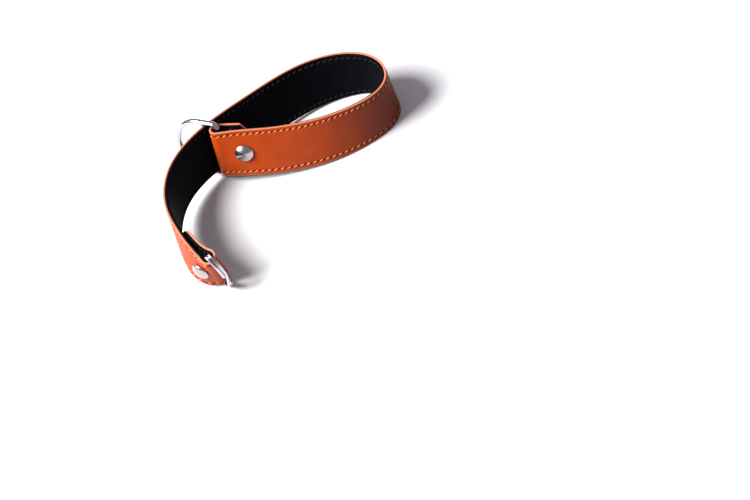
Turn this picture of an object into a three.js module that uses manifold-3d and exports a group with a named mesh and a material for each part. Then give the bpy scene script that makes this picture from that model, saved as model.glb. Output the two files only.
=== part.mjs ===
// A leather camera wrist strap, lying on its lower edge. Millimetres, +Z up, floor at z = 0.
// One strip of leather over a lining is the whole strap. Its tail end folds round a split ring.
// It then runs up through a D-ring, round the wrist loop, and folds round the bar of that same D-ring.
import * as THREE from "three";
import Module from "manifold-3d";
import { mergeVertices } from "three/addons/utils/BufferGeometryUtils.js";

const wasm = await Module();
wasm.setup();
const { Manifold, Mesh } = wasm;

// ---- sizes ----
const STRAP_WIDTH = 25;
const LEATHER_THICK = 1.1;
const LINING_THICK = 0.9;
const LAYER_GAP = 0.3;
const STRAP_THICK = LEATHER_THICK + LAYER_GAP + LINING_THICK;
const LINING_INSET = 0.4; // the lining is this much narrower at each edge
const LEATHER_BEVEL = 0.3; // the burnished edge of the leather's outer face
const LINING_BEVEL = 0.05;

const D_RING = {
  wire: 3, innerWidth: 26.2, innerDepth: 22.3, cornerRadius: 3, turns: 1, section: 14,
};
const SPLIT_RING = {
  wire: 1.4, innerWidth: 26.2, innerDepth: 8.6, cornerRadius: 1.6, turns: 2, section: 10,
};
const COIL_GAP = 0.1; // between the two turns of the split ring
const RING_CLEARANCE = 0.35; // between a ring's bar and the lining round it
const BOW_STEPS = 14; // facets in a quarter of a ring's bow
const CORNER_STEPS = 5; // facets in each corner beside its bar
const RAMP_STEPS = 3; // facets over which the split ring's wire crosses from one turn to the other

// For each end of the strap, from its fold: how far back its tab runs, how far back its rivet is, the
// gap between the two lined faces at the tab's tip, and how many degrees the ring's bow turns off the
// strap's line, to the lining side.
const TAIL_END = { tab: 23, rivet: 5, gap: 0.4, lean: -27 };
const FRONT_END = { tab: 15, rivet: 11, gap: 2.6, lean: 21 };
const TAB_CLIP = 5.8; // the 45 degree cut at each corner of a tab
const TAB_STEP = 0.5; // spacing of the stations along a tab

const RIVET = {
  capRadius: 4.45, capHeight: 2.3, rim: 0.5,
  baseRadius: 2.6, baseThick: 0.9, post: 1.2, socketDepth: 1.1,
};
const CAP_GAP = 0.25; // between a rivet's cap and the leather under it
const BASE_GAP = 0.7; // between its base and the tab
const POST_CLEARANCE = 0.3;
const SOCKET_CLEARANCE = 0.1; // round and over the post inside its cap
const BASE_BEVEL = 0.4;
const DOME_STEPS = 7;
const ROUND_STEPS = 28; // facets round a rivet
const HOLE_STEPS = 20;

// ---- the route of the strap's middle line ----
// Each row leads the strap past one place: x and y of its middle line, how high its lower edge is
// lifted off the floor, and how far its upper edge leans out to the leather side, in degrees.
const ROUTE = [
  { x: -26.2, y: -45.2, lift: 1.8, lean: 16 }, // fold at the split ring
  { x: -30.9, y: -43.2, lift: 1.8, lean: 3 },
  { x: -34.7, y: -39.2, lift: 4.9, lean: -5 },
  { x: -39.0, y: -32.2, lift: 7.4, lean: -7 },
  { x: -46.3, y: -13.0, lift: 5.6, lean: -1 }, // the tail bows out here
  { x: -45.6, y: 11.1, lift: 4.5, lean: 4 },
  { x: -31.2, y: 31.8, lift: 4.3, lean: 12 }, // through the D-ring
  { x: -7.6, y: 49.8, lift: 1.9, lean: 19 },
  { x: 14.4, y: 66.0, lift: 0.9, lean: 19 }, // the back of the loop
  { x: 35.1, y: 71.0, lift: 0.2, lean: 11 },
  { x: 52.1, y: 67.0, lift: 0.1, lean: 2 },
  { x: 60.1, y: 55.9, lift: 0.1, lean: -3 }, // the turn at the far end of the loop
  { x: 58.7, y: 43.5, lift: 0.1, lean: -1 },
  { x: 45.6, y: 33.9, lift: 0.1, lean: -6 },
  { x: 25.3, y: 26.8, lift: 1.0, lean: -12 }, // the front of the loop
  { x: 5.6, y: 24.6, lift: 3.0, lean: -15 },
  { x: -4.2, y: 24.7, lift: 4.2, lean: -17 },
  { x: -13.5, y: 25.2, lift: 5.2, lean: -16 },
  { x: -22.7, y: 26.2, lift: 5.2, lean: -11 }, // fold at the D-ring's bar
];
const ROUTE_STEPS = 600;
const STRAP_STEP = 1.5; // length of one facet along the strap
// The place on the floor under the middle of the whole strap, which becomes the part's origin.
const ORIGIN = { x: 6.9, y: 10.2 };

const UP = new THREE.Vector3(0, 0, 1);

// Value and slope of a uniform cubic B-spline through one column of the rows. It starts at the first
// row and ends at the last, with no bend there.
function guide(column, u) {
  const last = ROUTE.length - 1;
  const row = (i) => {
    if (i < 0) return 2 * ROUTE[0][column] - ROUTE[1][column];
    if (i > last) return 2 * ROUTE[last][column] - ROUTE[last - 1][column];
    return ROUTE[i][column];
  };
  const i = Math.min(Math.floor(u), last - 1);
  const f = u - i;
  const weights = [
    (1 - f) ** 3 / 6,
    (3 * f ** 3 - 6 * f ** 2 + 4) / 6,
    (-3 * f ** 3 + 3 * f ** 2 + 3 * f + 1) / 6,
    f ** 3 / 6,
  ];
  return weights.reduce((sum, w, k) => sum + w * row(i - 1 + k), 0);
}

function middleAt(u) {
  const lean = THREE.MathUtils.degToRad(guide("lean", u));
  const height = guide("lift", u) + (STRAP_WIDTH / 2) * Math.cos(lean);
  return new THREE.Vector3(guide("x", u) - ORIGIN.x, guide("y", u) - ORIGIN.y, height);
}

// Along the strap, across it towards its upper edge, and out of its leather face.
function directionsAt(u) {
  const last = ROUTE.length - 1;
  const h = 1e-3;
  const along = middleAt(Math.min(u + h, last)).sub(middleAt(Math.max(u - h, 0))).normalize();
  const lean = THREE.MathUtils.degToRad(guide("lean", u));
  const outward = new THREE.Vector3().crossVectors(UP, along).normalize();
  const across = UP.clone().multiplyScalar(Math.cos(lean)).addScaledVector(outward, Math.sin(lean));
  across.addScaledVector(along, -across.dot(along)).normalize();
  const out = new THREE.Vector3().crossVectors(across, along);
  return { along, across, out };
}

const routeMarks = [{ u: 0, s: 0 }];
for (let k = 1; k <= ROUTE_STEPS; k++) {
  const u = ((ROUTE.length - 1) * k) / ROUTE_STEPS;
  const before = routeMarks[k - 1];
  routeMarks.push({ u, s: before.s + middleAt(u).distanceTo(middleAt(before.u)) });
}
const ROUTE_LENGTH = routeMarks[ROUTE_STEPS].s;

// The strap's place at a distance from the tail's fold. Past either end the line runs on straight.
function stationAt(distance) {
  const s = THREE.MathUtils.clamp(distance, 0, ROUTE_LENGTH);
  const k = Math.max(1, routeMarks.findIndex((mark) => mark.s >= s));
  const [a, b] = [routeMarks[k - 1], routeMarks[k]];
  const u = a.u + ((b.u - a.u) * (s - a.s)) / (b.s - a.s);
  const place = directionsAt(u);
  place.middle = middleAt(u).addScaledVector(place.along, distance - s);
  return place;
}

// ---- the folded ends ----
const ENDS = {
  tail: { atStart: true, ring: SPLIT_RING, ...TAIL_END },
  front: { atStart: false, ring: D_RING, ...FRONT_END },
};

// How far a ring's wire reaches from the middle of its bar, over all of its turns.
function barReach(ring) {
  return (ring.turns * ring.wire + (ring.turns - 1) * COIL_GAP) / 2;
}

function foldRadius(end) {
  return barReach(end.ring) + RING_CLEARANCE + STRAP_THICK / 2;
}

// The station "past" mm beyond a fold's start and "behind" mm off the strap's middle line towards the
// lining, with the strip turned by "turn" radians round the fold. It keeps square to the strap at
// "follow" mm beyond the fold's start.
function foldStation(end, past, behind, turn, follow = past) {
  const base = stationAt(end.atStart ? -follow : ROUTE_LENGTH + follow);
  const ahead = base.along.clone().multiplyScalar(end.atStart ? -1 : 1);
  const middle = base.middle.clone().addScaledVector(base.out, -behind);
  middle.addScaledVector(ahead, past - follow);
  const out = base.out.clone().multiplyScalar(Math.cos(turn)).addScaledVector(ahead, Math.sin(turn));
  return { middle, across: base.across, out };
}

// The strap's place "distance" mm back from a fold's start, and the way that its tab runs there.
function backFromFold(end, distance) {
  const place = stationAt(end.atStart ? distance : ROUTE_LENGTH - distance);
  return { ...place, run: place.along.clone().multiplyScalar(end.atStart ? 1 : -1) };
}

// A tab's middle line: one smooth bend from the end of the fold to the tab's tip behind the strap.
function tabCurve(end) {
  const fold = backFromFold(end, 0);
  const root = backFromFold(end, end.tab);
  const start = fold.middle.clone().addScaledVector(fold.out, -2 * foldRadius(end));
  const tip = root.middle.clone().addScaledVector(root.out, -(STRAP_THICK + end.gap));
  const lead = start.distanceTo(tip) / 3;
  const leave = start.clone().addScaledVector(fold.run, lead);
  const arrive = tip.clone().addScaledVector(root.run, -lead);
  return new THREE.CubicBezierCurve3(start, leave, arrive, tip);
}

// Half a turn round the ring's bar, then back along the strap to the tab's end.
function foldStations(end) {
  const radius = foldRadius(end);
  const stations = [];
  const arcSteps = 16;
  for (let k = 1; k <= arcSteps; k++) {
    const turn = (Math.PI * k) / arcSteps;
    const behind = radius * (1 - Math.cos(turn));
    const station = foldStation(end, radius * Math.sin(turn), behind, turn, 0);
    stations.push({ ...station, halfWidth: STRAP_WIDTH / 2 });
  }
  const curve = tabCurve(end);
  const fold = backFromFold(end, 0);
  const root = backFromFold(end, end.tab);
  const tabSteps = Math.ceil(end.tab / TAB_STEP);
  for (let k = 1; k <= tabSteps; k++) {
    const t = k / tabSteps;
    const run = curve.getTangent(t);
    const across = fold.across.clone().lerp(root.across, THREE.MathUtils.smoothstep(t, 0, 1));
    across.addScaledVector(run, -across.dot(run)).normalize();
    const out = new THREE.Vector3().crossVectors(run, across).multiplyScalar(end.atStart ? 1 : -1);
    const cornerCut = Math.max(0, TAB_CLIP - end.tab * (1 - t));
    stations.push({ middle: curve.getPoint(t), across, out, halfWidth: STRAP_WIDTH / 2 - cornerCut });
  }
  return stations;
}

function strapStations() {
  const steps = Math.round(ROUTE_LENGTH / STRAP_STEP);
  const main = Array.from({ length: steps + 1 }, (_, k) => {
    const place = stationAt((ROUTE_LENGTH * k) / steps);
    return { ...place, halfWidth: STRAP_WIDTH / 2 };
  });
  return [...foldStations(ENDS.tail).reverse(), ...main, ...foldStations(ENDS.front)];
}

// ---- solids ----
// Joins rings of points, each going the same way round, into one closed surface.
function loft(rings, closed) {
  const count = rings[0].length;
  const positions = rings.flat().flatMap((p) => [p.x, p.y, p.z]);
  const indices = [];
  const joins = closed ? rings.length : rings.length - 1;
  for (let i = 0; i < joins; i++) {
    const a = i * count;
    const b = ((i + 1) % rings.length) * count;
    for (let k = 0; k < count; k++) {
      const next = (k + 1) % count;
      indices.push(a + k, b + next, b + k, a + k, a + next, b + next);
    }
  }
  const last = (rings.length - 1) * count;
  for (let k = 1; !closed && k < count - 1; k++) {
    indices.push(0, k + 1, k, last, last + k, last + k + 1);
  }
  const geometry = new THREE.BufferGeometry();
  geometry.setAttribute("position", new THREE.Float32BufferAttribute(positions, 3));
  geometry.setIndex(indices);
  return geometry;
}

// One layer of the strap between two distances from its middle surface.
function layerGeometry(stations, low, high, inset, bevel) {
  const rings = stations.map(({ middle, across, out, halfWidth }) => {
    const w = halfWidth - inset;
    const section = [[-w, low], [-w, high - bevel], [-w + bevel, high]];
    section.push([w - bevel, high], [w, high - bevel], [w, low]);
    return section.map(([y, z]) => middle.clone().addScaledVector(across, y).addScaledVector(out, z));
  });
  return loft(rings, false);
}

function toManifold(geometry) {
  const merged = mergeVertices(geometry, 1e-4);
  const vertProperties = Float32Array.from(merged.attributes.position.array);
  const triVerts = Uint32Array.from(merged.index.array);
  const solid = new Manifold(new Mesh({ numProp: 3, vertProperties, triVerts }));
  if (solid.volume() > 0) return solid;
  throw new Error("a solid is inside out");
}

function toGeometry(solid) {
  const { vertProperties, triVerts, numProp } = solid.getMesh();
  const positions = [];
  for (let i = 0; i < vertProperties.length; i += numProp) {
    positions.push(...vertProperties.subarray(i, i + 3));
  }
  const geometry = new THREE.BufferGeometry();
  geometry.setAttribute("position", new THREE.Float32BufferAttribute(positions, 3));
  geometry.setIndex([...triVerts]);
  return geometry;
}

// The frame of a rivet: its origin on the strap's middle surface, +Y out of the leather face.
function rivetMatrix(end) {
  const { middle, across, out } = foldStation(end, -end.rivet, 0, 0);
  const side = new THREE.Vector3().crossVectors(out, across);
  return new THREE.Matrix4().makeBasis(side, out, across).setPosition(middle);
}

function rivetHole(end) {
  const radius = RIVET.post + POST_CLEARANCE;
  const drill = new THREE.CylinderGeometry(radius, radius, 8 * STRAP_THICK, HOLE_STEPS);
  return toManifold(drill.deleteAttribute("normal").deleteAttribute("uv").applyMatrix4(rivetMatrix(end)));
}

function drilledLayer(stations, low, high, inset, bevel) {
  const layer = toManifold(layerGeometry(stations, low, high, inset, bevel));
  return toGeometry(layer.subtract(rivetHole(ENDS.tail)).subtract(rivetHole(ENDS.front)));
}

// Heights in a rivet's frame: just over the leather's face, and just under the tab's far face.
const CAP_SEAT = STRAP_THICK / 2 + CAP_GAP;

function baseSeat(end) {
  const { middle, across, out } = foldStation(end, -end.rivet, 0, 0);
  const side = new THREE.Vector3().crossVectors(out, across);
  const offsets = tabCurve(end).getPoints(100).map((point) => point.sub(middle));
  const under = offsets.filter((offset) => Math.abs(offset.dot(side)) < RIVET.baseRadius);
  const farthest = Math.max(...under.map((offset) => -offset.dot(out)));
  return -(farthest + STRAP_THICK / 2 + BASE_GAP);
}

function turned(profile) {
  return new THREE.LatheGeometry(profile.map(([r, y]) => new THREE.Vector2(r, y)), ROUND_STEPS);
}

function capGeometry() {
  const { capRadius, capHeight, rim, post, socketDepth } = RIVET;
  const dome = capHeight - rim;
  const sphere = (capRadius ** 2 + dome ** 2) / (2 * dome);
  const sweep = Math.asin(capRadius / sphere);
  const bore = post + SOCKET_CLEARANCE;
  const profile = [[0, CAP_SEAT + socketDepth], [bore, CAP_SEAT + socketDepth], [bore, CAP_SEAT]];
  profile.push([capRadius, CAP_SEAT]);
  for (let k = 0; k <= DOME_STEPS; k++) {
    const angle = sweep * (1 - k / DOME_STEPS);
    const height = CAP_SEAT + rim + sphere * Math.cos(angle) - (sphere - dome);
    profile.push([k === DOME_STEPS ? 0 : sphere * Math.sin(angle), height]);
  }
  return turned(profile);
}

function baseGeometry(end) {
  const { baseRadius, baseThick, post, socketDepth } = RIVET;
  const tip = CAP_SEAT + socketDepth - SOCKET_CLEARANCE;
  const seat = baseSeat(end);
  const foot = seat - baseThick;
  const profile = [[0, foot], [baseRadius - BASE_BEVEL, foot], [baseRadius, foot + BASE_BEVEL]];
  profile.push([baseRadius, seat], [post, seat], [post, tip], [0, tip]);
  return turned(profile);
}

// The middle line of a D-shaped ring's wire, as points with a distance across from the middle of its
// bar and a reach out from it. It starts at the apex of the bow and goes once round.
function ringOutline(ring) {
  const half = (ring.innerWidth + ring.wire) / 2;
  const reach = ring.innerDepth + ring.wire;
  const corner = ring.cornerRadius;
  const bow = Math.min(half, reach - corner);
  const points = [];
  const arc = (middle, radii, from, steps) => {
    for (let k = 0; k < steps; k++) {
      const angle = THREE.MathUtils.degToRad(from + (90 * k) / steps);
      points.push({
        across: middle[0] + radii[0] * Math.sin(angle),
        reach: middle[1] + radii[1] * Math.cos(angle),
      });
    }
  };
  const corners = [corner, corner];
  arc([0, reach - bow], [half, bow], 0, BOW_STEPS);
  if (reach - bow > corner) points.push({ across: half, reach: reach - bow });
  arc([half - corner, corner], corners, 90, CORNER_STEPS);
  points.push({ across: half - corner, reach: 0 });
  arc([corner - half, corner], corners, 180, CORNER_STEPS);
  points.push({ across: -half, reach: corner });
  if (reach - bow > corner) points.push({ across: -half, reach: reach - bow });
  arc([0, reach - bow], [half, bow], 270, BOW_STEPS);
  return points.filter((p, k) => k === 0 || apart(p, points[k - 1]) > 0.05);
}

function apart(a, b) {
  return Math.hypot(a.across - b.across, a.reach - b.reach);
}

// The outline with a shift off the ring's plane. A split ring goes round twice, side by side, and its
// wire stops short of the apex at both ends.
function wirePath(ring) {
  const lap = ringOutline(ring);
  if (ring.turns === 1) return lap.map((p) => ({ ...p, shift: 0 }));
  const path = [...lap, ...lap].map((p, k) => {
    const ramp = THREE.MathUtils.clamp((k - lap.length) / RAMP_STEPS, -1, 1);
    return { ...p, shift: (ramp * (ring.wire + COIL_GAP)) / 2 };
  });
  return path.slice(RAMP_STEPS, -RAMP_STEPS);
}

// A ring's place: the middle of its bar, the direction of its bar, its bow's direction and its normal.
function ringFrame(end) {
  const start = foldStation(end, 0, foldRadius(end), 0);
  const turn = THREE.MathUtils.degToRad(end.lean);
  const ahead = new THREE.Vector3().crossVectors(start.out, start.across);
  if (end.atStart) ahead.negate();
  const bow = ahead.clone().multiplyScalar(Math.cos(turn)).addScaledVector(start.out, -Math.sin(turn));
  const normal = new THREE.Vector3().crossVectors(start.across, bow);
  return { bar: start.middle, across: start.across, bow, normal };
}

// A round wire bent along the ring's path, joined up if it goes round only once.
function ringGeometry(end) {
  const { ring } = end;
  const { bar, across, bow, normal } = ringFrame(end);
  const isClosed = ring.turns === 1;
  const centres = wirePath(ring).map((p) => {
    const point = bar.clone().addScaledVector(across, p.across).addScaledVector(bow, p.reach);
    return point.addScaledVector(normal, p.shift);
  });
  const count = centres.length;
  const rings = centres.map((centre, k) => {
    const before = centres[isClosed ? (k + count - 1) % count : Math.max(k - 1, 0)];
    const after = centres[isClosed ? (k + 1) % count : Math.min(k + 1, count - 1)];
    const tangent = after.clone().sub(before).normalize();
    const side = new THREE.Vector3().crossVectors(normal, tangent).normalize();
    const lift = new THREE.Vector3().crossVectors(tangent, side);
    return Array.from({ length: ring.section }, (_, j) => {
      const angle = (2 * Math.PI * j) / ring.section;
      const out = side.clone().multiplyScalar(Math.cos(angle)).addScaledVector(lift, Math.sin(angle));
      return centre.clone().addScaledVector(out, ring.wire / 2);
    });
  });
  return loft(rings, isClosed);
}

// ---- the scene ----
const LEATHER = new THREE.MeshStandardMaterial({ color: 0xc55023, roughness: 0.45, metalness: 0 });
const LINING = new THREE.MeshStandardMaterial({ color: 0x141216, roughness: 0.7, metalness: 0 });
const NICKEL = new THREE.MeshStandardMaterial({ color: 0xc9c7c8, roughness: 0.2, metalness: 1 });

const half = STRAP_THICK / 2;
const stations = strapStations();
const part = new THREE.Group();

function add(name, geometry, material, matrix) {
  const mesh = new THREE.Mesh(geometry, material.clone());
  mesh.name = name;
  if (matrix) mesh.applyMatrix4(matrix);
  part.add(mesh);
}

add("strap_leather", drilledLayer(stations, half - LEATHER_THICK, half, 0, LEATHER_BEVEL), LEATHER);
add("strap_lining", drilledLayer(stations, -half, LINING_THICK - half, LINING_INSET, LINING_BEVEL), LINING);
add("d_ring", ringGeometry(ENDS.front), NICKEL);
add("split_ring", ringGeometry(ENDS.tail), NICKEL);
add("loop_rivet_cap", capGeometry(), NICKEL, rivetMatrix(ENDS.front));
add("loop_rivet_base", baseGeometry(ENDS.front), NICKEL, rivetMatrix(ENDS.front));
add("end_rivet_cap", capGeometry(), NICKEL, rivetMatrix(ENDS.tail));
add("end_rivet_base", baseGeometry(ENDS.tail), NICKEL, rivetMatrix(ENDS.tail));

export default part;
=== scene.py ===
"""A tan leather wrist strap, standing on its lower edge.

One strip of leather over a dark lining is the whole strap. Its tail folds round a split ring, runs up
through a D-ring, makes the wrist loop and folds round the bar of that same D-ring.
Lengths are in millimetres until a mesh is made, and MM turns them into metres. The floor and the lamp
are given in metres.
"""

import math

import bpy
from mathutils import Matrix, Vector


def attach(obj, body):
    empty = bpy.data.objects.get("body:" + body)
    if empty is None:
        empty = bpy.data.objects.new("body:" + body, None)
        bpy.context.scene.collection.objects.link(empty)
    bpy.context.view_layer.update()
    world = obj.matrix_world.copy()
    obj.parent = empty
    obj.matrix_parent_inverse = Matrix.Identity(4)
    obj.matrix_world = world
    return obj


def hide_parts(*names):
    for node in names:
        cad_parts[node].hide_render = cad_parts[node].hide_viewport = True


MM = 0.001

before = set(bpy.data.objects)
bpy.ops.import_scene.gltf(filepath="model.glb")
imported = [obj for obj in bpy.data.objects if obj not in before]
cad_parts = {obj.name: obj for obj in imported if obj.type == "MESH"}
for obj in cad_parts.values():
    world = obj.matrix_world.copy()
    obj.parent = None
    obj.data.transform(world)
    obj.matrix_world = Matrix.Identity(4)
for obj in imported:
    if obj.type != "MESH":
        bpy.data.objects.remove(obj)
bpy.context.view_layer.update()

# ---- sizes ----
STRAP_WIDTH = 25.0
LEATHER_THICK = 1.1
LINING_THICK = 0.9
LAYER_GAP = 0.3
STRAP_THICK = LEATHER_THICK + LAYER_GAP + LINING_THICK
LINING_INSET = 0.4
FACE = STRAP_THICK / 2  # from the strap's middle to either face
GLUE_LINE = 0.02  # between the leather and the lining, which is built up to meet it

D_RING = dict(wire=3.0, inner_width=26.2, inner_depth=22.3, corner=3.0, turns=1)
SPLIT_RING = dict(wire=1.4, inner_width=26.2, inner_depth=8.6, corner=1.6, turns=2)
COIL_GAP = 0.1  # between the two turns of the split ring
RING_CLEARANCE = 0.35  # between a bar and the fold round it

TAB_CLIP = 5.8  # the 45 degree cut at each corner of a tab

RIVET = dict(cap_radius=4.45, cap_height=2.3, rim=0.5, base_radius=2.6, base_thick=0.9, post=1.2)
CAP_GAP = 0.25  # under the rim of the cap
CAP_FOOT = 0.55  # from the cap's widest place in to its foot
CAP_CURL = 0.15  # from the cap's widest place in to the rim's under edge
BASE_GAP = 0.7  # behind the tab, which is bent there

STITCH_PITCH = 3.0
STITCH_INSET = 2.2  # from the leather's edge to the row of stitches
STITCH_LENGTH = 2.25
STITCH_SINK = 0.1  # how far under the face the middle of a stitch lies
STITCH_SLANT = -0.42  # how far a stitch climbs for each step along the leather's face
THREAD_WIDTH = 0.64
THREAD_HEIGHT = 0.5

ORIGIN = Vector((6.9, 10.2, 0.0))

# ---- the route of the strap's middle line ----
# Each row: x and y of the middle line, the lift of the lower edge off the floor, and how many degrees
# the upper edge leans out to the leather side.
COLUMNS = ("x", "y", "lift", "lean")
ROUTE = [
    (-26.2, -45.2, 1.8, 16),  # fold at the split ring
    (-30.9, -43.2, 1.8, 3),
    (-34.7, -39.2, 4.9, -5),
    (-39.0, -32.2, 7.4, -7),
    (-46.3, -13.0, 5.6, -1),  # the tail bows out here
    (-45.6, 11.1, 4.5, 4),
    (-31.2, 31.8, 4.3, 12),  # through the D-ring
    (-7.6, 49.8, 1.9, 19),
    (14.4, 66.0, 0.9, 19),  # the back of the loop
    (35.1, 71.0, 0.2, 11),
    (52.1, 67.0, 0.1, 2),
    (60.1, 55.9, 0.1, -3),  # the turn at the far end
    (58.7, 43.5, 0.1, -1),
    (45.6, 33.9, 0.1, -6),
    (25.3, 26.8, 1.0, -12),  # the front of the loop
    (5.6, 24.6, 3.0, -15),
    (-4.2, 24.7, 4.2, -17),
    (-13.5, 25.2, 5.2, -16),
    (-22.7, 26.2, 5.2, -11),  # fold at the D-ring's bar
]
LAST_ROW = len(ROUTE) - 1
ROUTE_STEPS = 1200
UP = Vector((0.0, 0.0, 1.0))


def guide(column, u):
    """One column's value on a cubic B-spline through the rows, with no bend at its ends."""
    index = COLUMNS.index(column)

    def row(i):
        if i < 0:
            return 2 * ROUTE[0][index] - ROUTE[1][index]
        if i > LAST_ROW:
            return 2 * ROUTE[LAST_ROW][index] - ROUTE[LAST_ROW - 1][index]
        return ROUTE[i][index]

    i = min(int(u), LAST_ROW - 1)
    f = u - i
    weights = (
        (1 - f) ** 3 / 6,
        (3 * f**3 - 6 * f**2 + 4) / 6,
        (-3 * f**3 + 3 * f**2 + 3 * f + 1) / 6,
        f**3 / 6,
    )
    return sum(w * row(i - 1 + k) for k, w in enumerate(weights))


def middle_at(u):
    lean = math.radians(guide("lean", u))
    height = guide("lift", u) + STRAP_WIDTH / 2 * math.cos(lean)
    return Vector((guide("x", u), guide("y", u), height)) - ORIGIN


def directions_at(u):
    """Along the strap, across it towards its upper edge, and out of its leather face."""
    reach = 1e-3
    along = (middle_at(min(u + reach, LAST_ROW)) - middle_at(max(u - reach, 0))).normalized()
    lean = math.radians(guide("lean", u))
    outward = UP.cross(along).normalized()
    across = UP * math.cos(lean) + outward * math.sin(lean)
    across = (across - along * across.dot(along)).normalized()
    return along, across, across.cross(along)


route_marks = [(0.0, 0.0)]
before = middle_at(0.0)
for step in range(1, ROUTE_STEPS + 1):
    u = LAST_ROW * step / ROUTE_STEPS
    here = middle_at(u)
    route_marks.append((u, route_marks[-1][1] + (here - before).length))
    before = here
ROUTE_LENGTH = route_marks[-1][1]


def station_at(distance):
    """The strap's place at a distance from the tail's fold, straight on past either end."""
    s = min(max(distance, 0.0), ROUTE_LENGTH)
    low, high = 0, ROUTE_STEPS
    while high - low > 1:
        half = (low + high) // 2
        if route_marks[half][1] < s:
            low = half
        else:
            high = half
    (u0, s0), (u1, s1) = route_marks[low], route_marks[high]
    u = u0 + (u1 - u0) * (s - s0) / (s1 - s0)
    along, across, out = directions_at(u)
    return middle_at(u) + along * (distance - s), along, across, out


# ---- the folded ends ----
# Each end: the tab's length behind the strap, where its rivet is, the gap that is left at the tab's
# tip, and the ring's lean about its bar.
TAIL_END = dict(at_start=True, ring=SPLIT_RING, tab=23.0, rivet=5.0, gap=0.4, lean=-27.0)
FRONT_END = dict(at_start=False, ring=D_RING, tab=15.0, rivet=11.0, gap=2.6, lean=21.0)

ARC_STEPS = 36
TAB_STEP = 0.4
BASE_LOOKS = 100  # how many places along a tab are tried under a rivet's base


def bar_reach(ring):
    return (ring["turns"] * ring["wire"] + (ring["turns"] - 1) * COIL_GAP) / 2


def fold_radius(end):
    return bar_reach(end["ring"]) + RING_CLEARANCE + STRAP_THICK / 2


def strap_from(end, distance):
    """The strap's place at a distance from an end's fold, with its run leading away from that fold."""
    middle, along, across, out = station_at(distance if end["at_start"] else ROUTE_LENGTH - distance)
    return middle, along if end["at_start"] else -along, across, out


def tab_path(end, t):
    """The tab's middle line and its run, on one smooth bend from the fold (0) to the tip (1)."""
    fold, leave, _, fold_out = strap_from(end, 0.0)
    root, arrive, _, root_out = strap_from(end, end["tab"])
    start = fold - fold_out * 2 * fold_radius(end)
    tip = root - root_out * (STRAP_THICK + end["gap"])
    lead = (tip - start).length / 3
    a, b, c, d = start, start + leave * lead, tip - arrive * lead, tip
    middle = a * (1 - t) ** 3 + b * 3 * t * (1 - t) ** 2 + c * 3 * t**2 * (1 - t) + d * t**3
    run = (b - a) * (1 - t) ** 2 + (c - b) * 2 * t * (1 - t) + (d - c) * t**2
    return middle, run.normalized()


def fold_stations(end):
    """Half a turn round the ring's bar, then back along the strap to the tab's end."""
    radius = fold_radius(end)
    fold, run, across_fold, out = strap_from(end, 0.0)
    across_tip = strap_from(end, end["tab"])[2]
    stations = []
    for k in range(1, ARC_STEPS + 1):
        turn = math.pi * k / ARC_STEPS
        middle = fold - out * (radius * (1 - math.cos(turn))) - run * (radius * math.sin(turn))
        facing = out * math.cos(turn) - run * math.sin(turn)
        stations.append((middle, across_fold, facing, STRAP_WIDTH / 2))
    tab_steps = math.ceil(end["tab"] / TAB_STEP)
    for k in range(1, tab_steps + 1):
        t = k / tab_steps
        middle, run = tab_path(end, t)
        across = across_fold.lerp(across_tip, t * t * (3 - 2 * t))
        across = (across - run * across.dot(run)).normalized()
        facing = run.cross(across) if end["at_start"] else across.cross(run)
        cut = max(0.0, TAB_CLIP - end["tab"] * (1 - t))
        stations.append((middle, across, facing, STRAP_WIDTH / 2 - cut))
    return stations


def rivet_frame(end):
    middle, _, across, out = strap_from(end, end["rivet"])
    return middle, across, out


def behind_rivet(end):
    """How far behind the strap's middle the tab's own middle gets, under the rivet's base."""
    middle, across, out = rivet_frame(end)
    farthest = 0.0
    for k in range(BASE_LOOKS + 1):
        offset = tab_path(end, k / BASE_LOOKS)[0] - middle
        if abs(offset.dot(across.cross(out))) < RIVET["base_radius"]:
            farthest = max(farthest, -offset.dot(out))
    return farthest


STATIONS_PER_STITCH = 6


def strip_stations():
    """Every station of the strip from the tail's tab to the front tab, with its distance along."""
    count = round(ROUTE_LENGTH / (STITCH_PITCH / STATIONS_PER_STITCH))
    main = []
    for k in range(count + 1):
        middle, along, across, out = station_at(ROUTE_LENGTH * k / count)
        main.append((middle, across, out, STRAP_WIDTH / 2))
    places = fold_stations(TAIL_END)[::-1] + main + fold_stations(FRONT_END)
    marked = []
    s = 0.0
    for k, place in enumerate(places):
        if k:
            s += (place[0] - places[k - 1][0]).length
        marked.append((s, *place))
    return marked


strip = strip_stations()
STRIP_LENGTH = strip[-1][0]
FAR_TURN = 0.675 * STRIP_LENGTH  # the far turn of the loop, where shade is painted into the leather's colour
PAINTED_SHADE_REACH = 28.0  # how far the painted shade goes, both ways along the strip


# ---- meshes ----
def mesh_object(name, verts, faces, material, smooth=True):
    mesh = bpy.data.meshes.new(name)
    mesh.from_pydata([tuple(v * MM) for v in verts], [], faces)
    mesh.validate()
    mesh.polygons.foreach_set("use_smooth", [smooth] * len(mesh.polygons))
    mesh.materials.append(material)
    mesh.update()
    piece = bpy.data.objects.new(name, mesh)
    bpy.context.collection.objects.link(piece)
    return piece


def loft_faces(rings, count, closed):
    """Faces between rings of points, each going the same way round."""
    faces = []
    joins = rings if closed else rings - 1
    for i in range(joins):
        a = i * count
        b = ((i + 1) % rings) * count
        for k in range(count):
            n = (k + 1) % count
            faces.append((a + k, a + n, b + n, b + k))
    if not closed:
        faces.append(tuple(range(count))[::-1])
        faces.append(tuple((rings - 1) * count + k for k in range(count)))
    return faces


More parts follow.
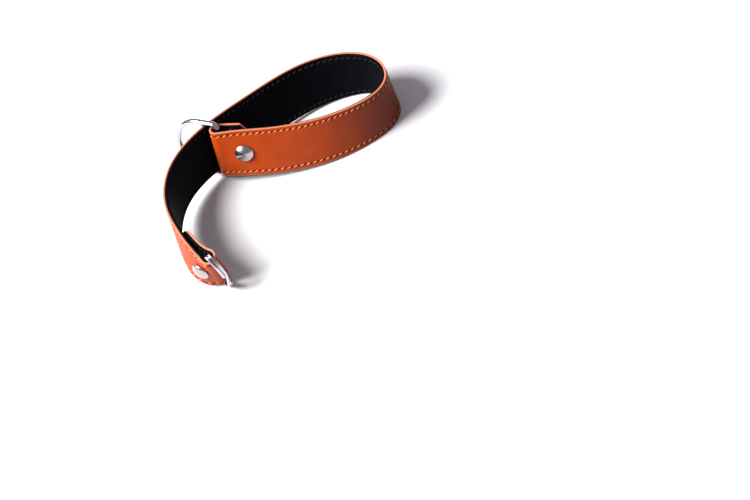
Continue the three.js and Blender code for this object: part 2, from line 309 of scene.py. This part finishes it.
def strip_piece(name, section, material):
    """Sweeps a section along the whole strip, with its own map and its marks for cut and hole."""
    verts, cuts, holes, painted_shade, coords = [], [], [], [], []
    count = 0
    for s, middle, across, out, half in strip:
        points = section(s, half)
        count = len(points)
        # a mark for the painted shade round the loop's far turn
        painted_shade += [bell(s - FAR_TURN, PAINTED_SHADE_REACH)] * count
        for a, h, cut, hole in points:
            verts.append(middle + across * a + out * h)
            cuts.append(cut)
            holes.append(hole)
            coords.append((s * MM, a * MM))
    faces = loft_faces(len(strip), count, False)
    piece = mesh_object(name, verts, faces, material)
    mesh = piece.data
    for label, values in (("cut", cuts), ("hole", holes), ("painted_shade", painted_shade)):
        mark = mesh.attributes.new(label, "FLOAT", "POINT")
        mark.data.foreach_set("value", values)
    layer = mesh.uv_layers.new(name="strip_map")
    for loop in mesh.loops:
        layer.data[loop.index].uv = coords[loop.vertex_index]
    return piece


def bell(x, width):
    return math.exp(-((x / width) ** 2))


def stitch_phase(s):
    """Distance from the nearest stitch hole along the strip."""
    return abs((s / STITCH_PITCH + 0.5) % 1.0 - 0.5) * STITCH_PITCH


GROOVE_DEPTH = 0.14
GROOVE_REACH = 0.5
HOLE_DEPTH = 0.3
HOLE_REACH = 0.42  # across the row
HOLE_SPREAD = 0.55  # along the row
HOLE_BETWEEN = 0.3  # the part of a hole's dip and shade that is left between two holes
EDGE_DROP = 0.06  # how far each face falls towards its edges
EDGE_FALL = 2.6
EDGE_ROUND = 0.32
EDGE_STEPS = 4
LEATHER_BEVEL = (0.12, 0.15)  # in from the edge, and up from the glued face
LINING_BEVEL = (0.1, 0.12)
NEAR_EDGE = (0.55, 0.9, 1.3, 1.6, 1.8, 1.95, 2.1, 2.2, 2.3, 2.45, 2.65, 2.95, 3.4)
TO_CENTRE = (0.1, 0.25, 0.42, 0.6, 0.8, 1.0)


def face_distances(half, inset):
    """Distances in from one edge to the middle, close together round the stitch row."""
    near = [d - inset for d in NEAR_EDGE if d - inset > EDGE_ROUND]
    reach = half - near[-1]
    return near + [near[-1] + reach * t for t in TO_CENTRE]


def face_points(s, half, inset, height, sign):
    """Points over one face of a layer, from its lower edge to its upper edge."""
    row = STITCH_INSET - inset
    near_hole = bell(stitch_phase(s), HOLE_SPREAD)
    side = []
    for d in face_distances(half, inset):
        hole = bell(d - row, HOLE_REACH) * (HOLE_BETWEEN + (1 - HOLE_BETWEEN) * near_hole)
        sink = GROOVE_DEPTH * bell(d - row, GROOVE_REACH) + HOLE_DEPTH * hole
        drop = EDGE_DROP * bell(d, EDGE_FALL)
        side.append((d, height - sign * (drop + sink), hole))
    lower = [(d - half, h, 0.0, hole) for d, h, hole in side]
    upper = [(half - d, h, 0.0, hole) for d, h, hole in side[-2::-1]]
    return lower + upper


def rounded_edge(half, top, sign):
    """The rounding from a face into the cut edge, at the lower and the upper edge."""
    lower, upper = [], []
    for k in range(1, EDGE_STEPS + 1):
        angle = math.pi / 2 * k / EDGE_STEPS
        a = half - EDGE_ROUND * (1 - math.sin(angle))
        h = top - sign * EDGE_ROUND * (1 - math.cos(angle))
        lower.append((-a, h, 1.0, 0.0))
        upper.append((a, h, 1.0, 0.0))
    return lower[::-1], upper


def layer_section(s, half, inset, face, glued, sign, bevel):
    """A layer's outline from one glued corner, over its stitched face, to the other."""
    half = half - inset
    step_in, step_up = bevel
    shoulder = glued + sign * step_up
    lower, upper = rounded_edge(half, face - sign * EDGE_DROP, sign)
    points = [(step_in - half, glued, 1.0, 0.0), (-half, shoulder, 1.0, 0.0)]
    points += lower + face_points(s, half, inset, face, sign) + upper
    points += [(half, shoulder, 1.0, 0.0), (half - step_in, glued, 1.0, 0.0)]
    return points[::-sign]  # both layers go the same way round, so their faces point outwards


def leather_section(s, half):
    return layer_section(s, half, 0.0, FACE, FACE - LEATHER_THICK, 1, LEATHER_BEVEL)


def lining_section(s, half):
    glued = FACE - LEATHER_THICK - GLUE_LINE
    return layer_section(s, half, LINING_INSET, -FACE, glued, -1, LINING_BEVEL)


# ---- materials ----
def new_material(name):
    material = bpy.data.materials.new(name)
    material.use_nodes = True
    tree = material.node_tree
    return material, tree, tree.nodes["Principled BSDF"]


def add_node(tree, kind, **settings):
    node = tree.nodes.new(kind)
    for key, value in settings.items():
        setattr(node, key, value)
    return node


def noise_on(tree, vector, scale, detail=3.0, roughness=0.5):
    node = add_node(tree, "ShaderNodeTexNoise")
    node.inputs["Scale"].default_value = scale
    node.inputs["Detail"].default_value = detail
    node.inputs["Roughness"].default_value = roughness
    tree.links.new(vector, node.inputs["Vector"])
    return node.outputs["Fac"]


def span(tree, value, low, high, to_low=0.0, to_high=1.0):
    node = add_node(tree, "ShaderNodeMapRange", clamp=True)
    tree.links.new(value, node.inputs["Value"])
    node.inputs["From Min"].default_value = low
    node.inputs["From Max"].default_value = high
    node.inputs["To Min"].default_value = to_low
    node.inputs["To Max"].default_value = to_high
    return node.outputs["Result"]


def blend_colours(tree, factor, first, second):
    node = add_node(tree, "ShaderNodeMix", data_type="RGBA")
    tree.links.new(factor, node.inputs["Factor"])
    for colour, socket in ((first, node.inputs[6]), (second, node.inputs[7])):
        if isinstance(colour, tuple):
            socket.default_value = (*colour, 1.0)
        else:
            tree.links.new(colour, socket)
    return node.outputs[2]


def bump_from(tree, height, distance, strength=1.0, under=None):
    node = add_node(tree, "ShaderNodeBump")
    node.inputs["Strength"].default_value = strength
    node.inputs["Distance"].default_value = distance
    tree.links.new(height, node.inputs["Height"])
    if under is not None:
        tree.links.new(under, node.inputs["Normal"])
    return node.outputs["Normal"]


def own_mark(tree, name):
    return add_node(tree, "ShaderNodeAttribute", attribute_name=name).outputs["Fac"]


def own_map(tree):
    return add_node(tree, "ShaderNodeUVMap", uv_map="strip_map").outputs["UV"]


def own_place(tree):
    return add_node(tree, "ShaderNodeTexCoord").outputs["Object"]


def pore_height(tree, place, scale, wall):
    """Small cells with a furrow between them, as in the face of a hide."""
    cells = add_node(tree, "ShaderNodeTexVoronoi", feature="DISTANCE_TO_EDGE")
    cells.inputs["Scale"].default_value = scale
    tree.links.new(place, cells.inputs["Vector"])
    return span(tree, cells.outputs["Distance"], 0.0, wall)


TAN = (0.285, 0.034, 0.0018)
TAN_DEEP = (0.235, 0.025, 0.0013)
# painted shade for the loop's far turn, which faces away from the lamp
TAN_PAINTED_SHADE = (0.095, 0.012, 0.0018)
TAN_CUT = (0.40, 0.135, 0.075)
# painted shade in the stitch holes and along the row of stitches
TAN_HOLE_SHADE = (0.03, 0.005, 0.0015)


def tan_leather():
    material, tree, shader = new_material("tan_leather")
    strip_map = own_map(tree)
    cloud = noise_on(tree, strip_map, 90.0, detail=4.0, roughness=0.6)
    colour = blend_colours(tree, span(tree, cloud, 0.35, 0.7), TAN, TAN_DEEP)
    # darkens the far turn with painted shade
    colour = blend_colours(tree, own_mark(tree, "painted_shade"), colour, TAN_PAINTED_SHADE)
    # paints shade into the stitch holes and along their row
    colour = blend_colours(tree, span(tree, own_mark(tree, "hole"), 0.1, 0.7), colour, TAN_HOLE_SHADE)
    colour = blend_colours(tree, span(tree, own_mark(tree, "cut"), 0.3, 0.9), colour, TAN_CUT)
    tree.links.new(colour, shader.inputs["Base Color"])
    rough = span(tree, noise_on(tree, strip_map, 260.0), 0.3, 0.7, to_low=0.42, to_high=0.54)
    tree.links.new(rough, shader.inputs["Roughness"])
    grain = bump_from(tree, pore_height(tree, strip_map, 1900.0, wall=0.12), 0.00003, strength=0.5)
    fine = noise_on(tree, strip_map, 2600.0, detail=2.0)
    normal = bump_from(tree, fine, 0.00003, strength=0.5, under=grain)
    tree.links.new(normal, shader.inputs["Normal"])
    shader.inputs["Specular IOR Level"].default_value = 0.13
    return material


LINING_BLACK = (0.0008, 0.0006, 0.0014)
LINING_WORN = (0.002, 0.0016, 0.003)


def black_lining():
    material, tree, shader = new_material("black_lining")
    strip_map = own_map(tree)
    cloud = noise_on(tree, strip_map, 160.0, detail=4.0, roughness=0.6)
    colour = blend_colours(tree, span(tree, cloud, 0.4, 0.7), LINING_BLACK, LINING_WORN)
    tree.links.new(colour, shader.inputs["Base Color"])
    grain = pore_height(tree, strip_map, 1400.0, wall=0.15)
    tree.links.new(bump_from(tree, grain, 0.00004, strength=0.6), shader.inputs["Normal"])
    rough = span(tree, noise_on(tree, strip_map, 300.0), 0.3, 0.7, to_low=0.55, to_high=0.68)
    tree.links.new(rough, shader.inputs["Roughness"])
    shader.inputs["Specular IOR Level"].default_value = 0.035
    return material


def thread(name, light, dark, sheen):
    material, tree, shader = new_material(name)
    place = own_place(tree)
    cloud = noise_on(tree, place, 1500.0)
    colour = blend_colours(tree, span(tree, cloud, 0.35, 0.65), light, dark)
    tree.links.new(colour, shader.inputs["Base Color"])
    fibre = noise_on(tree, place, 6000.0, detail=2.0)
    tree.links.new(bump_from(tree, fibre, 0.00005, strength=0.6), shader.inputs["Normal"])
    shader.inputs["Roughness"].default_value = 0.7
    shader.inputs["Specular IOR Level"].default_value = 0.12
    shader.inputs["Sheen Weight"].default_value = sheen
    shader.inputs["Sheen Roughness"].default_value = 0.5
    return material


ROUGHER_WEAR = 0.12  # how much rougher a metal gets where it is worn


def polished_metal(name, colour, roughness):
    material, tree, shader = new_material(name)
    place = own_place(tree)
    wear = noise_on(tree, place, 700.0, detail=5.0, roughness=0.6)
    rough = span(tree, wear, 0.35, 0.75, to_low=roughness, to_high=roughness + ROUGHER_WEAR)
    tree.links.new(rough, shader.inputs["Roughness"])
    scuff = noise_on(tree, place, 3500.0)
    tree.links.new(bump_from(tree, scuff, 0.0000015, strength=0.5), shader.inputs["Normal"])
    shader.inputs["Base Color"].default_value = (*colour, 1.0)
    shader.inputs["Metallic"].default_value = 1.0
    return material


leather = tan_leather()
lining = black_lining()
tan_thread = thread("tan_thread", (0.56, 0.20, 0.075), (0.36, 0.10, 0.03), sheen=0.15)
grey_thread = thread("grey_thread", (0.014, 0.0135, 0.02), (0.005, 0.005, 0.0075), sheen=0.0)
ring_metal = polished_metal("ring_metal", (0.46, 0.45, 0.49), roughness=0.12)
rivet_metal = polished_metal("rivet_metal", (0.38, 0.35, 0.37), roughness=0.2)

# ---- the strip ----
leather_piece = strip_piece("leather_strip", leather_section, leather)
lining_piece = strip_piece("lining_strip", lining_section, lining)


# ---- stitches ----
def named_vector(tree, name):
    node = add_node(tree, "GeometryNodeInputNamedAttribute", data_type="FLOAT_VECTOR")
    node.inputs["Name"].default_value = name
    return node.outputs["Attribute"]


def stitch_tree():
    """A tree that lays one stitch on each guide point, along its run and facing its face."""
    tree = bpy.data.node_groups.new("stitch_row", "GeometryNodeTree")
    face = tree.interface
    face.new_socket("Geometry", in_out="INPUT", socket_type="NodeSocketGeometry")
    for label in ("Stitch Length", "Thread Width", "Thread Height"):
        face.new_socket(label, in_out="INPUT", socket_type="NodeSocketFloat")
    face.new_socket("Thread", in_out="INPUT", socket_type="NodeSocketMaterial")
    face.new_socket("Geometry", in_out="OUTPUT", socket_type="NodeSocketGeometry")
    link = tree.links.new
    given = add_node(tree, "NodeGroupInput")
    result = add_node(tree, "NodeGroupOutput")
    grain = add_node(tree, "GeometryNodeMeshUVSphere")
    grain.inputs["Segments"].default_value = 8
    grain.inputs["Rings"].default_value = 6
    grain.inputs["Radius"].default_value = 0.5
    size = add_node(tree, "ShaderNodeCombineXYZ")
    link(given.outputs["Stitch Length"], size.inputs["X"])
    link(given.outputs["Thread Width"], size.inputs["Y"])
    link(given.outputs["Thread Height"], size.inputs["Z"])
    stand = add_node(tree, "FunctionNodeAlignRotationToVector", axis="Z")
    link(named_vector(tree, "facing"), stand.inputs["Vector"])
    turn = add_node(tree, "FunctionNodeAlignRotationToVector", axis="X", pivot_axis="Z")
    link(stand.outputs["Rotation"], turn.inputs["Rotation"])
    link(named_vector(tree, "run"), turn.inputs["Vector"])
    smooth = add_node(tree, "GeometryNodeSetShadeSmooth")
    link(grain.outputs["Mesh"], smooth.inputs["Geometry"])
    lay = add_node(tree, "GeometryNodeInstanceOnPoints")
    link(given.outputs["Geometry"], lay.inputs["Points"])
    link(smooth.outputs["Geometry"], lay.inputs["Instance"])
    link(turn.outputs["Rotation"], lay.inputs["Rotation"])
    link(size.outputs["Vector"], lay.inputs["Scale"])
    real = add_node(tree, "GeometryNodeRealizeInstances")
    link(lay.outputs["Instances"], real.inputs["Geometry"])
    dress = add_node(tree, "GeometryNodeSetMaterial")
    link(real.outputs["Geometry"], dress.inputs["Geometry"])
    link(given.outputs["Thread"], dress.inputs["Material"])
    link(dress.outputs["Geometry"], result.inputs["Geometry"])
    return tree


def strip_place(s):
    """The strip's place at a distance from the tail tab's end."""
    low, high = 0, len(strip) - 1
    while high - low > 1:
        half = (low + high) // 2
        if strip[half][0] < s:
            low = half
        else:
            high = half
    a, b = strip[low], strip[high]
    f = (s - a[0]) / (b[0] - a[0])
    middle = a[1].lerp(b[1], f)
    across = a[2].lerp(b[2], f).normalized()
    out = a[3].lerp(b[3], f).normalized()
    return middle, across, out, (b[1] - a[1]).normalized()


def stitch_guide(name, side):
    """Guide points for the two rows on one side of the strip: 1 is the leather, -1 the lining.

    The rows run between the corner cuts of the two tabs, and each stitch lies midway between two holes.
    """
    first = math.ceil(TAB_CLIP / STITCH_PITCH + 0.5)
    last = math.floor((STRIP_LENGTH - TAB_CLIP) / STITCH_PITCH - 0.5)
    points, runs, facings = [], [], []
    for row in (-1, 1):
        a = row * (STRAP_WIDTH / 2 - STITCH_INSET)
        h = side * (FACE - STITCH_SINK)
        for k in range(first, last):
            middle, across, out, run = strip_place((k + 0.5) * STITCH_PITCH)
            points.append(middle + across * a + out * h)
            runs.append(run + across * (STITCH_SLANT * side))
            facings.append(out * side)
    guide_points = mesh_object(name, points, [], None)
    for label, vectors in (("run", runs), ("facing", facings)):
        mark = guide_points.data.attributes.new(label, "FLOAT_VECTOR", "POINT")
        mark.data.foreach_set("vector", [c for v in vectors for c in v])
    return guide_points


def plain_mesh(name, piece):
    """The evaluated piece as an object of its own, with its modifiers turned into mesh."""
    bpy.context.view_layer.update()
    seen = piece.evaluated_get(bpy.context.evaluated_depsgraph_get())
    mesh = bpy.data.meshes.new_from_object(seen)
    result = bpy.data.objects.new(name, mesh)
    bpy.context.collection.objects.link(result)
    bpy.data.objects.remove(piece)
    return result


def set_input(modifier, label, value):
    for item in modifier.node_group.interface.items_tree:
        if item.item_type == "SOCKET" and item.in_out == "INPUT" and item.name == label:
            modifier[item.identifier] = value


stitches = stitch_tree()


def stitch_piece(name, side, material):
    guide_points = stitch_guide(name + "_guide", side)
    modifier = guide_points.modifiers.new("stitches", "NODES")
    modifier.node_group = stitches
    set_input(modifier, "Stitch Length", STITCH_LENGTH * MM)
    set_input(modifier, "Thread Width", THREAD_WIDTH * MM)
    set_input(modifier, "Thread Height", THREAD_HEIGHT * MM)
    set_input(modifier, "Thread", material)
    return plain_mesh(name, guide_points)


outer_stitches = stitch_piece("leather_stitches", 1, tan_thread)
inner_stitches = stitch_piece("lining_stitches", -1, grey_thread)

# ---- rings ----
BOW_STEPS = 40
CORNER_STEPS = 10
BAR_STEPS = 4
WIRE_SIDES = 24
RAMP_STEPS = 8  # over which one turn of the split ring crosses to the other
TIP_STEPS = 4
TIP_LENGTH = 0.5  # of the wire's radius
NEAREST = 0.02  # an outline's point closer than this to the one before is left out


def ring_outline(ring):
    """The middle line of a D-shaped ring's wire as (across, reach) from the middle of its bar."""
    half = (ring["inner_width"] + ring["wire"]) / 2
    reach = ring["inner_depth"] + ring["wire"]
    corner = ring["corner"]
    bow = min(half, reach - corner)
    points = []

    def arc(middle, radii, start, steps):
        for k in range(steps):
            angle = math.radians(start + 90 * k / steps)
            x = middle[0] + radii[0] * math.sin(angle)
            y = middle[1] + radii[1] * math.cos(angle)
            points.append((x, y))

    arc((0, reach - bow), (half, bow), 0, BOW_STEPS)
    if reach - bow > corner:
        points.append((half, reach - bow))
    arc((half - corner, corner), (corner, corner), 90, CORNER_STEPS)
    for k in range(BAR_STEPS):
        points.append(((half - corner) * (1 - 2 * k / BAR_STEPS), 0.0))
    arc((corner - half, corner), (corner, corner), 180, CORNER_STEPS)
    points.append((-half, corner))
    if reach - bow > corner:
        points.append((-half, reach - bow))
    arc((0, reach - bow), (half, bow), 270, BOW_STEPS)
    return [p for k, p in enumerate(points) if k == 0 or math.dist(p, points[k - 1]) > NEAREST]


def wire_path(ring):
    """The outline with a shift off the ring's plane, twice round for a split ring."""
    lap = ring_outline(ring)
    if ring["turns"] == 1:
        return [(x, y, 0.0) for x, y in lap]
    path = []
    for k, (x, y) in enumerate(lap + lap):
        ramp = min(max((k - len(lap)) / RAMP_STEPS, -1.0), 1.0)
        path.append((x, y, ramp * (ring["wire"] + COIL_GAP) / 2))
    return path[RAMP_STEPS:-RAMP_STEPS]


def ring_frame(end):
    """The middle of a ring's bar, the bar's direction, the bow's direction and the ring's normal."""
    middle, run, across, out = strap_from(end, 0.0)
    turn = math.radians(end["lean"])
    bow = -run * math.cos(turn) - out * math.sin(turn)
    return middle - out * fold_radius(end), across, bow, across.cross(bow)


def ring_piece(name, end, material):
    """A round wire bent along the ring's path, with rounded tips on an open one."""
    ring = end["ring"]
    bar, across, bow, normal = ring_frame(end)
    centres = [bar + across * x + bow * y + normal * z for x, y, z in wire_path(ring)]
    closed = ring["turns"] == 1
    radius = ring["wire"] / 2
    count = len(centres)
    rings = []
    for k, centre in enumerate(centres):
        before = centres[k - 1] if closed or k else centres[0]
        after = centres[(k + 1) % count] if closed or k < count - 1 else centres[k]
        tangent = (after - before).normalized()
        side = normal.cross(tangent).normalized()
        rings.append((centre, side, tangent.cross(side), tangent, 1.0))
    if not closed:
        for place, sign in ((0, -1), (-1, 1)):
            centre, side, lift, tangent, size = rings[place]
            tips = []
            for k in range(1, TIP_STEPS + 1):
                angle = math.pi / 2 * k / (TIP_STEPS + 0.2)  # stops just short of a point
                tip = centre + tangent * (sign * TIP_LENGTH * radius * math.sin(angle))
                tips.append((tip, side, lift, tangent, math.cos(angle)))
            rings = tips[::-1] + rings if sign < 0 else rings + tips
    verts = []
    for centre, side, lift, tangent, size in rings:
        for j in range(WIRE_SIDES):
            angle = math.tau * j / WIRE_SIDES
            verts.append(centre + (side * math.cos(angle) + lift * math.sin(angle)) * radius * size)
    return mesh_object(name, verts, loft_faces(len(rings), WIRE_SIDES, closed), material)


d_ring = ring_piece("d_ring_wire", FRONT_END, ring_metal)
split_ring = ring_piece("split_ring_wire", TAIL_END, ring_metal)

# ---- rivets ----
ROUND_STEPS = 72
DOME_STEPS = 16


def turned_piece(name, end, profile, material):
    """A profile of (radius, height) turned round a rivet's axis, from its lowest centre point up."""
    middle, across, out = rivet_frame(end)
    side = out.cross(across)
    verts = []
    for radius, height in profile[1:-1]:
        for j in range(ROUND_STEPS):
            angle = math.tau * j / ROUND_STEPS
            spoke = side * math.cos(angle) + across * math.sin(angle)
            verts.append(middle + out * height + spoke * radius)
    rows = len(profile) - 2
    faces = []
    for i in range(rows - 1):
        for j in range(ROUND_STEPS):
            n = (j + 1) % ROUND_STEPS
            a, b = i * ROUND_STEPS, (i + 1) * ROUND_STEPS
            faces.append((a + j, b + j, b + n, a + n))
    first, last = len(verts), len(verts) + 1
    verts += [middle + out * profile[0][1], middle + out * profile[-1][1]]
    top = (rows - 1) * ROUND_STEPS
    for j in range(ROUND_STEPS):
        n = (j + 1) % ROUND_STEPS
        faces.append((first, j, n))
        faces.append((last, top + n, top + j))
    return mesh_object(name, verts, faces, material)


def cap_profile():
    """The cap's foot, a thin rim that curls in under it, and a shallow dome, as (radius, height)."""
    seat = FACE + CAP_GAP
    radius, rim = RIVET["cap_radius"], RIVET["rim"]
    dome = RIVET["cap_height"] - rim
    sphere = (radius**2 + dome**2) / (2 * dome)
    sweep = math.asin(radius / sphere)
    profile = [
        (0.0, FACE),
        (radius - CAP_FOOT, FACE),
        (radius - CAP_CURL, seat),
        (radius, seat + 0.12),
        (radius, seat + rim * 0.8),
        (radius * 0.98, seat + rim),
    ]
    for k in range(1, DOME_STEPS):
        angle = sweep * (1 - k / DOME_STEPS)
        rise = sphere * math.cos(angle) - (sphere - dome)
        profile.append((sphere * math.sin(angle), seat + rim + rise))
    profile.append((0.0, seat + rim + dome))
    return profile


def base_profile(end):
    """The base behind the tab, and its post through the fold to the cap, as (radius, height)."""
    radius = RIVET["base_radius"]
    seat = -(behind_rivet(end) + FACE)
    foot = seat - BASE_GAP - RIVET["base_thick"]
    return [
        (0.0, foot),
        (radius - 0.4, foot),
        (radius - 0.1, foot + 0.15),
        (radius, foot + 0.4),
        (radius, seat - 0.05),
        (RIVET["post"], seat),
        (RIVET["post"], FACE),
        (0.0, FACE),
    ]


rivets = []
for label, end in (("loop", FRONT_END), ("end", TAIL_END)):
    cap = turned_piece(label + "_rivet_dome", end, cap_profile(), rivet_metal)
    base = turned_piece(label + "_rivet_foot", end, base_profile(end), rivet_metal)
    rivets.append((label, cap, base))

# ---- what rides on what ----
for piece, node, slot in (
    (leather_piece, "strap_leather", "leather"),
    (lining_piece, "strap_lining", "lining"),
    (d_ring, "d_ring", "ring_metal"),
):
    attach(piece, "strap")
    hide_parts(node)
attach(split_ring, "split_ring")
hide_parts("split_ring")
for label, cap, base in rivets:
    for piece, node in ((cap, label + "_rivet_cap"), (base, label + "_rivet_base")):
        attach(piece, "strap")
        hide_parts(node)
for piece, slot in ((outer_stitches, "leather"), (inner_stitches, "lining")):
    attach(piece, "strap")

# ---- floor, light and camera ----
FLOOR_HALF = 1.6
FLOOR_CORNERS = ((-1, -1), (1, -1), (1, 1), (-1, 1))
floor_material, floor_tree, floor_shader = new_material("white_floor")
floor_shader.inputs["Base Color"].default_value = (0.62, 0.62, 0.63, 1.0)
floor_shader.inputs["Roughness"].default_value = 0.9
floor_shader.inputs["Specular IOR Level"].default_value = 0.1
corners = [Vector((x, y, 0.0)) * (FLOOR_HALF / MM) for x, y in FLOOR_CORNERS]
floor = mesh_object("floor", corners, [(0, 1, 2, 3)], floor_material, smooth=False)

world = bpy.data.worlds.new("studio")
bpy.context.scene.world = world
world.use_nodes = True
sky = world.node_tree.nodes["Background"]
sky.inputs["Color"].default_value = (0.97, 0.91, 1.0, 1.0)
sky.inputs["Strength"].default_value = 0.38

# One soft lamp to the left, a little to the front and high up.
LAMP_PLACE = Vector((-0.74, -0.24, 0.76))
lamp = bpy.data.lights.new("key", "AREA")
lamp.shape = "DISK"
lamp.size = 0.72
lamp.energy = 46.0
lamp_holder = bpy.data.objects.new("key", lamp)
lamp_holder.location = LAMP_PLACE
lamp_holder.rotation_euler = (-LAMP_PLACE).to_track_quat("-Z", "Y").to_euler()
bpy.context.collection.objects.link(lamp_holder)

# The camera looks down on the strap from its front, and is rolled so that the loop climbs to the right.
VIEW_TURN = math.radians(15.527)  # from straight in front, towards the far end of the loop
VIEW_HEIGHT = math.radians(46.228)  # above the floor
VIEW_ROLL = math.radians(-21.044)
AIM = Vector((40.0, -8.0, -30.11)) - ORIGIN  # beside the strap, which stands left of and above it
DISTANCE = 1400.0
camera_data = bpy.data.cameras.new("camera")
camera_data.lens = 141.47
camera_data.sensor_width = 36.0
camera_data.clip_start = 0.05
camera_data.clip_end = 20.0
camera = bpy.data.objects.new("camera", camera_data)
facing = Matrix.Rotation(VIEW_TURN, 4, "Z") @ Matrix.Rotation(math.pi / 2 - VIEW_HEIGHT, 4, "X")
facing = facing @ Matrix.Rotation(VIEW_ROLL, 4, "Z")
step_back = facing.to_3x3() @ Vector((0.0, 0.0, DISTANCE))
camera.matrix_world = Matrix.Translation((AIM + step_back) * MM) @ facing
bpy.context.collection.objects.link(camera)
bpy.context.scene.camera = camera

bpy.context.scene.view_settings.view_transform = "Standard"
